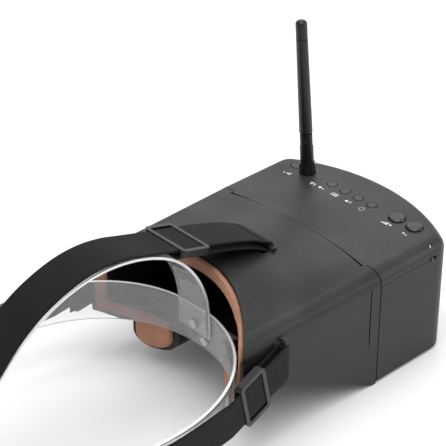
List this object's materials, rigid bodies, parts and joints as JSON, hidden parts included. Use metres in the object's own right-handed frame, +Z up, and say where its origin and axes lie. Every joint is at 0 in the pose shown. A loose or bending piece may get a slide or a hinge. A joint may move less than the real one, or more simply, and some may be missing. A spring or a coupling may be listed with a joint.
{
  "type": "fpv goggles",
  "caption": "Box-style video goggles with a folding antenna, push buttons, foam-rimmed face shroud, elastic head straps with sliding buckles and a clear head form.",
  "frame": {"origin": "on the flat base face, under the middle of the joint between the face shroud and the front housing", "axes": "+X to the wearer's right, +Y forward in the viewing direction, +Z up"},
  "size_m": [0.1796, 0.3762, 0.1974],
  "materials": {
    "housing_black": "fine spark-eroded satin",
    "shroud_black": "fine spark-eroded matt",
    "lens_frame_black": "matt",
    "button_black": "satin",
    "button_gloss": "gloss ring with satin crown",
    "switch_plastic": "satin",
    "antenna_rubber": "satin rubber",
    "connector_brass": "plated",
    "pin_steel": "plain",
    "socket_metal": "plain",
    "jack_plastic": "satin",
    "foam_copper": "brushed cloth over foam",
    "webbing_black": "woven elastic",
    "patch_black": "stitched patch",
    "buckle_black": "semi-gloss",
    "clear_plastic": "clear sheet",
    "lens_clear": "clear with fine rings",
    "screen_glass": "dark display",
    "board_green": "solder mask",
    "battery_wrap": "foil pouch",
    "indicator_clear": "smoked light pipe"
  },
  "bodies": {
    "housing": {"antenna_collar": "antenna_rubber", "antenna_connector": "connector_brass", "av_jack": "jack_plastic", "back_patch": "patch_black", "battery": "battery_wrap", "button_board": "board_green", "case_screws": "pin_steel", "charge_socket": "socket_metal", "cheek_foam_left": "foam_copper", "cheek_foam_right": "foam_copper", "face_shroud": "shroud_black", "forehead_foam_left": "foam_copper", "forehead_foam_right": "foam_copper", "fresnel_lens": "lens_clear", "front_lower_shell": "housing_black", "front_top_cover": "housing_black", "head_form_crown": "clear_plastic", "head_form_hoop": "clear_plastic", "head_form_rivets": "clear_plastic", "indicator_light": "indicator_clear", "left_strap": "webbing_black", "lens_frame": "lens_frame_black", "main_board": "board_green", "power_switch_body": "switch_plastic", "receiver_module": "socket_metal", "right_strap": "webbing_black", "screen_bezel": "lens_frame_black", "screen_panel": "screen_glass", "tactile_switches": "switch_plastic", "top_strap": "webbing_black"},
    "antenna_base": {"antenna_barrel": "antenna_rubber", "hinge_pin": "pin_steel"},
    "antenna_whip": {"antenna_whip": "antenna_rubber", "antenna_tip": "antenna_rubber"},
    "power_knob": {"power_switch_knob": "switch_plastic"},
    "top_buckle": {"top_buckle": "buckle_black"},
    "right_buckle": {"right_buckle": "buckle_black"},
    "left_buckle": {"left_buckle": "buckle_black"},
    "search_button": {"search_button": "button_black"},
    "small_button_1": {"small_button_1": "button_black"},
    "small_button_2": {"small_button_2": "button_black"},
    "small_button_3": {"small_button_3": "button_black"},
    "small_button_4": {"small_button_4": "button_black"},
    "large_button_1": {"large_button_1": "button_gloss"},
    "large_button_2": {"large_button_2": "button_gloss"}
  },
  "joints": [
    {"name": "antenna_swivel", "type": "hinge", "parent": "housing", "child": "antenna_base", "pos_m": [-0.0456, 0.055, 0.086], "axis": [-0.0898, 0, 0.996], "continuous": true},
    {"name": "antenna_fold", "type": "hinge", "parent": "antenna_base", "child": "antenna_whip", "pos_m": [-0.04784, 0.055, 0.1109], "axis": [0.7043, -0.7071, 0.0635], "range_deg": [0, 90]},
    {"name": "power_slide", "type": "slide", "parent": "housing", "child": "power_knob", "axis": [0, 1, 0], "range_m": [0, 0.002]},
    {"name": "search_button_press", "type": "slide", "parent": "housing", "child": "search_button", "axis": [0, 0, -1], "range_m": [0, 0.0008], "stiffness_N_per_m": 150, "springref_m": -0.0006},
    {"name": "small_button_1_press", "type": "slide", "parent": "housing", "child": "small_button_1", "axis": [0, 0, -1], "range_m": [0, 0.0008], "stiffness_N_per_m": 150, "springref_m": -0.0006},
    {"name": "small_button_2_press", "type": "slide", "parent": "housing", "child": "small_button_2", "axis": [0, 0, -1], "range_m": [0, 0.0008], "stiffness_N_per_m": 150, "springref_m": -0.0006},
    {"name": "small_button_3_press", "type": "slide", "parent": "housing", "child": "small_button_3", "axis": [0, 0, -1], "range_m": [0, 0.0008], "stiffness_N_per_m": 150, "springref_m": -0.0006},
    {"name": "small_button_4_press", "type": "slide", "parent": "housing", "child": "small_button_4", "axis": [0, 0, -1], "range_m": [0, 0.0008], "stiffness_N_per_m": 150, "springref_m": -0.0006},
    {"name": "large_button_1_press", "type": "slide", "parent": "housing", "child": "large_button_1", "axis": [0, 0, -1], "range_m": [0, 0.0008], "stiffness_N_per_m": 180, "springref_m": -0.0006},
    {"name": "large_button_2_press", "type": "slide", "parent": "housing", "child": "large_button_2", "axis": [0, 0, -1], "range_m": [0, 0.0008], "stiffness_N_per_m": 180, "springref_m": -0.0006},
    {"name": "top_buckle_slide", "type": "slide", "parent": "housing", "child": "top_buckle", "axis": [0, -0.9613, 0.2756], "range_m": [-0.006, 0.008]},
    {"name": "right_buckle_slide", "type": "slide", "parent": "housing", "child": "right_buckle", "axis": [0.1356, -0.9652, -0.2237], "range_m": [-0.006, 0.008]},
    {"name": "left_buckle_slide", "type": "slide", "parent": "housing", "child": "left_buckle", "axis": [-0.1356, -0.9652, -0.2237], "range_m": [-0.006, 0.008]}
  ]
}
